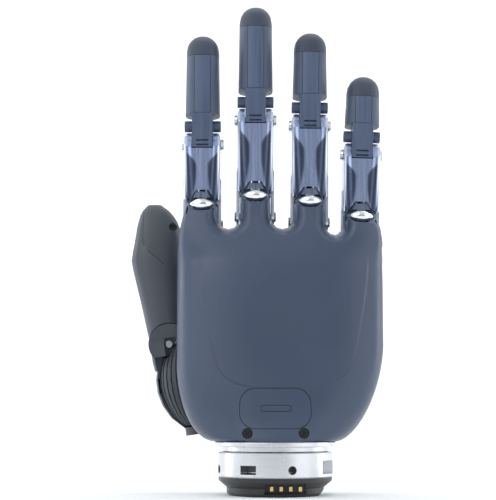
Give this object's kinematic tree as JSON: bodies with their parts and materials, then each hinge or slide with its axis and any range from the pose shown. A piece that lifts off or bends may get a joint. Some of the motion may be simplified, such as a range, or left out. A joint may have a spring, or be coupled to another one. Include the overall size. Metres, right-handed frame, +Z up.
{
  "type": "dexterous robot hand",
  "caption": "Five-digit robot hand with polished finger links, coupled finger joints, a turning thumb on a ribbed bellows and a round metal quick-connect wrist.",
  "frame": {"origin": "centre of the wrist ring's lower face, on the ring's axis", "axes": "+Z up the hand towards the fingertips, +Y out of the palm's face, -Y out of the back of the hand, -X towards the thumb"},
  "size_m": [0.1124, 0.0606, 0.2151],
  "materials": {
    "aluminium_ring": "brushed",
    "black_plastic": "matt",
    "contacts": "gold plated",
    "bearing": "plain",
    "palm_plastic": "satin slate blue",
    "frame_aluminium": "machined",
    "housing": "satin",
    "chrome": "polished",
    "steel": "ground",
    "motor": "plain",
    "gearbox": "anodised",
    "board": "green lacquer",
    "screw": "blackened",
    "bellows_rubber": "matt",
    "thumb_plastic": "satin grey",
    "thumb_rubber": "matt",
    "polished_link": "polished blue steel",
    "distal_plastic": "satin blue grey",
    "finger_rubber": "matt",
    "tip_rubber": "matt"
  },
  "bodies": {
    "socket_side": {"wrist_ring": "aluminium_ring", "wrist_plug": "black_plastic", "wrist_contacts": "contacts", "wrist_bearing": "bearing"},
    "hand": {"wrist_flange": "aluminium_ring", "dorsal_shell": "palm_plastic", "palmar_shell": "palm_plastic", "palm_frame": "frame_aluminium", "knuckle_housings": "housing", "knuckle_barrels": "chrome", "knuckle_pins": "steel", "finger_motors": "motor", "finger_gearboxes": "gearbox", "control_board": "board", "service_cover": "palm_plastic", "cover_screws": "screw", "thumb_bellows": "bellows_rubber", "thumb_bracket": "frame_aluminium", "thumb_axle": "steel", "thumb_rotation_motor": "motor"},
    "power_button": {"power_button": "palm_plastic"},
    "thumb_base": {"thumb_base": "thumb_plastic", "thumb_hinge_pin": "steel"},
    "thumb_digit": {"thumb_frame": "frame_aluminium", "thumb_shell": "thumb_plastic", "thumb_pad": "thumb_rubber", "thumb_screw": "screw"},
    "index_proximal": {"index_proximal_link": "polished_link", "index_drive_shaft": "steel", "index_hinge_pin": "steel"},
    "index_distal": {"index_distal_frame": "distal_plastic", "index_finger_pad": "finger_rubber", "index_fingertip": "tip_rubber"},
    "index_coupler": {"index_coupler_bar": "steel"},
    "middle_proximal": {"middle_proximal_link": "polished_link", "middle_drive_shaft": "steel", "middle_hinge_pin": "steel"},
    "middle_distal": {"middle_distal_frame": "distal_plastic", "middle_finger_pad": "finger_rubber", "middle_fingertip": "tip_rubber"},
    "middle_coupler": {"middle_coupler_bar": "steel"},
    "ring_proximal": {"ring_proximal_link": "polished_link", "ring_drive_shaft": "steel", "ring_hinge_pin": "steel"},
    "ring_distal": {"ring_distal_frame": "distal_plastic", "ring_finger_pad": "finger_rubber", "ring_fingertip": "tip_rubber"},
    "ring_coupler": {"ring_coupler_bar": "steel"},
    "little_proximal": {"little_proximal_link": "polished_link", "little_drive_shaft": "steel", "little_hinge_pin": "steel"},
    "little_distal": {"little_distal_frame": "distal_plastic", "little_finger_pad": "finger_rubber", "little_fingertip": "tip_rubber"},
    "little_coupler": {"little_coupler_bar": "steel"}
  },
  "joints": [
    {"name": "wrist_rotation", "type": "hinge", "parent": "socket_side", "child": "hand", "pos_m": [0, 0, 0.013], "axis": [0, 0, 1], "continuous": true},
    {"name": "power_button_press", "type": "slide", "parent": "hand", "child": "power_button", "axis": [0, 1, 0], "range_m": [0, 0.0006], "stiffness_N_per_m": 400},
    {"name": "thumb_rotation", "type": "hinge", "parent": "hand", "child": "thumb_base", "pos_m": [-0.0386, 0.02, 0.041], "axis": [-0.1392, 0, 0.9903], "range_deg": [-80, 0]},
    {"name": "thumb_flexion", "type": "hinge", "parent": "thumb_base", "child": "thumb_digit", "pos_m": [-0.047, 0.02, 0.058], "axis": [0, 1, 0], "range_deg": [-30, 0]},
    {"name": "index_knuckle", "type": "hinge", "parent": "hand", "child": "index_proximal", "pos_m": [-0.0318, 0, 0.1094], "axis": [-1, 0, 0], "range_deg": [0, 80]},
    {"name": "index_finger_joint", "type": "hinge", "parent": "index_proximal", "child": "index_distal", "pos_m": [-0.0318, 0, 0.1455], "axis": [-1, 0, 0], "range_deg": [0, 80]},
    {"name": "index_bar_swing", "type": "hinge", "parent": "index_distal", "child": "index_coupler", "pos_m": [-0.0318, 0.0045, 0.1455], "axis": [-1, 0, 0], "range_deg": [-92, 0]},
    {"name": "middle_knuckle", "type": "hinge", "parent": "hand", "child": "middle_proximal", "pos_m": [-0.0086, 0, 0.1132], "axis": [-1, 0, 0.0035], "range_deg": [0, 80]},
    {"name": "middle_finger_joint", "type": "hinge", "parent": "middle_proximal", "child": "middle_distal", "pos_m": [-0.00845, 0, 0.1565], "axis": [-1, 0, 0.0035], "range_deg": [0, 80]},
    {"name": "middle_bar_swing", "type": "hinge", "parent": "middle_distal", "child": "middle_coupler", "pos_m": [-0.00845, 0.0045, 0.1565], "axis": [-1, 0, 0.0035], "range_deg": [-90.2, 0]},
    {"name": "ring_knuckle", "type": "hinge", "parent": "hand", "child": "ring_proximal", "pos_m": [0.01505, 0, 0.1108], "axis": [-0.9999, 0, 0.0113], "range_deg": [0, 80]},
    {"name": "ring_finger_joint", "type": "hinge", "parent": "ring_proximal", "child": "ring_distal", "pos_m": [0.01554, 0, 0.154], "axis": [-0.9999, 0, 0.0113], "range_deg": [0, 80]},
    {"name": "ring_bar_swing", "type": "hinge", "parent": "ring_distal", "child": "ring_coupler", "pos_m": [0.01554, 0.0045, 0.154], "axis": [-0.9999, 0, 0.0113], "range_deg": [-90.2, 0]},
    {"name": "little_knuckle", "type": "hinge", "parent": "hand", "child": "little_proximal", "pos_m": [0.037, 0, 0.1041], "axis": [-0.9994, 0, 0.0349], "range_deg": [0, 80]},
    {"name": "little_finger_joint", "type": "hinge", "parent": "little_proximal", "child": "little_distal", "pos_m": [0.03828, 0, 0.14078], "axis": [-0.9994, 0, 0.0349], "range_deg": [0, 80]},
    {"name": "little_bar_swing", "type": "hinge", "parent": "little_distal", "child": "little_coupler", "pos_m": [0.03828, 0.0045, 0.14078], "axis": [-0.9994, 0, 0.0349], "range_deg": [-91.8, 0]}
  ],
  "couplings": [
    {"joint": "index_finger_joint", "follows": "index_knuckle", "ratio": 1},
    {"joint": "index_bar_swing", "follows": "index_knuckle", "ratio": -1.144},
    {"joint": "middle_finger_joint", "follows": "middle_knuckle", "ratio": 1},
    {"joint": "middle_bar_swing", "follows": "middle_knuckle", "ratio": -1.1209},
    {"joint": "ring_finger_joint", "follows": "ring_knuckle", "ratio": 1},
    {"joint": "ring_bar_swing", "follows": "ring_knuckle", "ratio": -1.1212},
    {"joint": "little_finger_joint", "follows": "little_knuckle", "ratio": 1},
    {"joint": "little_bar_swing", "follows": "little_knuckle", "ratio": -1.1418}
  ]
}
